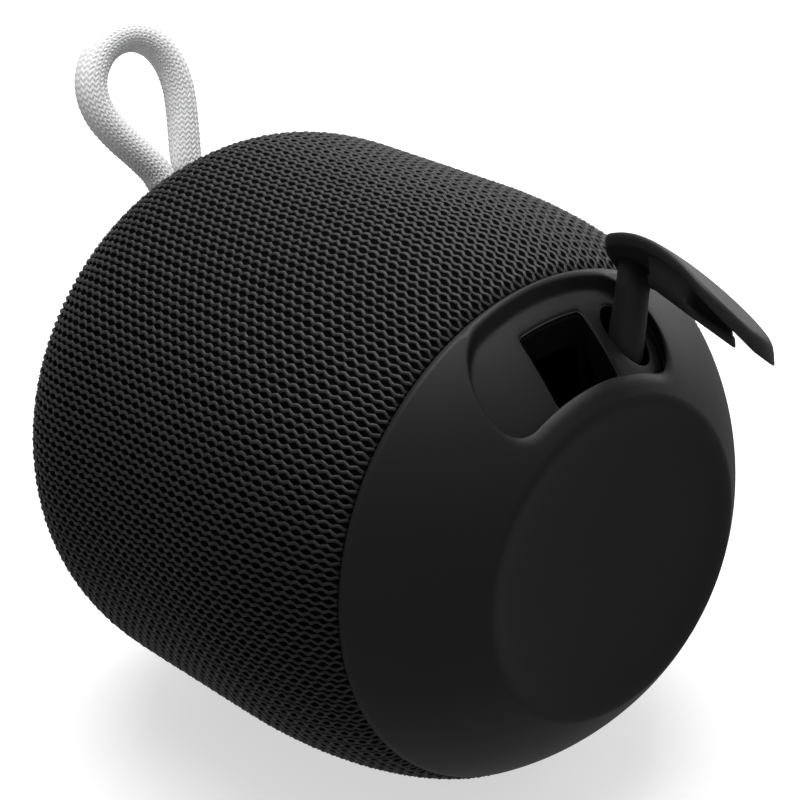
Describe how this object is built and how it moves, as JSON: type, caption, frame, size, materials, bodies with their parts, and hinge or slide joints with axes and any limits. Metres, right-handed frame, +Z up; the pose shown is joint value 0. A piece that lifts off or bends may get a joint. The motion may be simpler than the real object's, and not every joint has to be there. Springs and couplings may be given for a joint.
{
  "type": "shower speaker",
  "caption": "Barrel-shaped pocket speaker in knitted fabric with a rubber base, a tethered door over its charging port, top keys and a braided carry loop.",
  "frame": {"origin": "on the ground under the middle of the speaker as it lies on its side, with its carry loop left out", "axes": "+X out of the base along the barrel, +Z up on the charging-port side, +Y across"},
  "size_m": [0.1318, 0.093, 0.1082],
  "materials": {
    "base_rubber": "matt soft-touch rubber, near black",
    "knit_fabric": "open knit in near-black glossy yarn, in rows of small cells",
    "top_rubber": "matt soft-touch rubber, near black",
    "key_rubber": "matt rubber",
    "door_rubber": "satin rubber, near black",
    "braided_cord": "white braided cord",
    "chassis_plastic": "moulded black plastic",
    "port_plastic": "moulded black plastic",
    "clip_plastic": "grey moulded plastic",
    "socket_steel": "bright pressed steel",
    "circuit_board": "green solder mask",
    "switch_metal": "pressed steel",
    "light_guide": "frosted clear plastic",
    "driver_steel": "grey painted steel",
    "cone_paper": "pressed paper pulp",
    "surround_rubber": "soft rubber roll",
    "seal_foam": "closed-cell foam",
    "battery_sleeve": "shrink sleeve",
    "screw_steel": "zinc-plated steel"
  },
  "bodies": {
    "root": {"base_cap": "base_rubber", "grille_fabric": "knit_fabric", "top_cap": "top_rubber", "chassis": "chassis_plastic", "base_frame": "chassis_plastic", "base_seal": "seal_foam", "top_seal": "seal_foam", "port_housing": "port_plastic", "socket_shell": "socket_steel", "socket_tongue": "port_plastic", "charging_board": "circuit_board", "status_light": "light_guide", "control_board": "circuit_board", "control_tray": "chassis_plastic", "main_board": "circuit_board", "battery": "battery_sleeve", "battery_cradle": "chassis_plastic", "carry_loop": "braided_cord", "play_switch": "switch_metal", "power_switch": "switch_metal", "pairing_switch": "switch_metal", "volume_up_switch": "switch_metal", "volume_down_switch": "switch_metal", "front_driver_basket": "driver_steel", "front_driver_magnet": "driver_steel", "front_driver_surround": "surround_rubber", "front_driver_gasket": "seal_foam", "rear_driver_basket": "driver_steel", "rear_driver_magnet": "driver_steel", "rear_driver_surround": "surround_rubber", "rear_driver_gasket": "seal_foam", "left_passive_frame": "chassis_plastic", "left_passive_surround": "surround_rubber", "right_passive_frame": "chassis_plastic", "right_passive_surround": "surround_rubber", "frame_screw_1": "screw_steel", "frame_screw_2": "screw_steel", "frame_screw_3": "screw_steel", "frame_screw_4": "screw_steel"},
    "door_retainer": {"door_retainer": "clip_plastic"},
    "port_door": {"port_door": "door_rubber"},
    "front_driver_cone": {"front_driver_cone": "cone_paper"},
    "left_passive_plate": {"left_passive_plate": "driver_steel"},
    "pairing_key": {"pairing_key": "key_rubber"},
    "play_key": {"play_key": "key_rubber"},
    "power_key": {"power_key": "key_rubber"},
    "rear_driver_cone": {"rear_driver_cone": "cone_paper"},
    "right_passive_plate": {"right_passive_plate": "driver_steel"},
    "volume_down_key": {"volume_down_key": "key_rubber"},
    "volume_up_key": {"volume_up_key": "key_rubber"}
  },
  "joints": [
    {"name": "door_pull", "type": "slide", "parent": "root", "child": "door_retainer", "axis": [0, 0.2079, 0.9781], "range_m": [-0.0005, 0.0015]},
    {"name": "door_swivel", "type": "hinge", "parent": "door_retainer", "child": "port_door", "pos_m": [0.03218, 0.0126, 0.0791], "axis": [0, 0.2079, 0.9781], "range_deg": [-88, 3]},
    {"name": "play_press", "type": "slide", "parent": "root", "child": "play_key", "axis": [1, 0, 0], "range_m": [0, 0.0007], "stiffness_N_per_m": 1500},
    {"name": "power_press", "type": "slide", "parent": "root", "child": "power_key", "axis": [1, 0, 0], "range_m": [0, 0.0007], "stiffness_N_per_m": 1500},
    {"name": "pairing_press", "type": "slide", "parent": "root", "child": "pairing_key", "axis": [1, 0, 0], "range_m": [0, 0.0007], "stiffness_N_per_m": 1500},
    {"name": "volume_up_press", "type": "slide", "parent": "root", "child": "volume_up_key", "axis": [1, 0, 0], "range_m": [0, 0.0007], "stiffness_N_per_m": 1500},
    {"name": "volume_down_press", "type": "slide", "parent": "root", "child": "volume_down_key", "axis": [1, 0, 0], "range_m": [0, 0.0007], "stiffness_N_per_m": 1500},
    {"name": "front_cone_stroke", "type": "slide", "parent": "root", "child": "front_driver_cone", "axis": [0, 0, -1], "range_m": [-0.0015, 0.0015], "stiffness_N_per_m": 1200},
    {"name": "rear_cone_stroke", "type": "slide", "parent": "root", "child": "rear_driver_cone", "axis": [0, 0, 1], "range_m": [-0.0015, 0.0015], "stiffness_N_per_m": 1200},
    {"name": "left_passive_stroke", "type": "slide", "parent": "root", "child": "left_passive_plate", "axis": [0, -1, 0], "range_m": [-0.0018, 0.0018], "stiffness_N_per_m": 1500},
    {"name": "right_passive_stroke", "type": "slide", "parent": "root", "child": "right_passive_plate", "axis": [0, 1, 0], "range_m": [-0.0018, 0.0018], "stiffness_N_per_m": 1500}
  ]
}
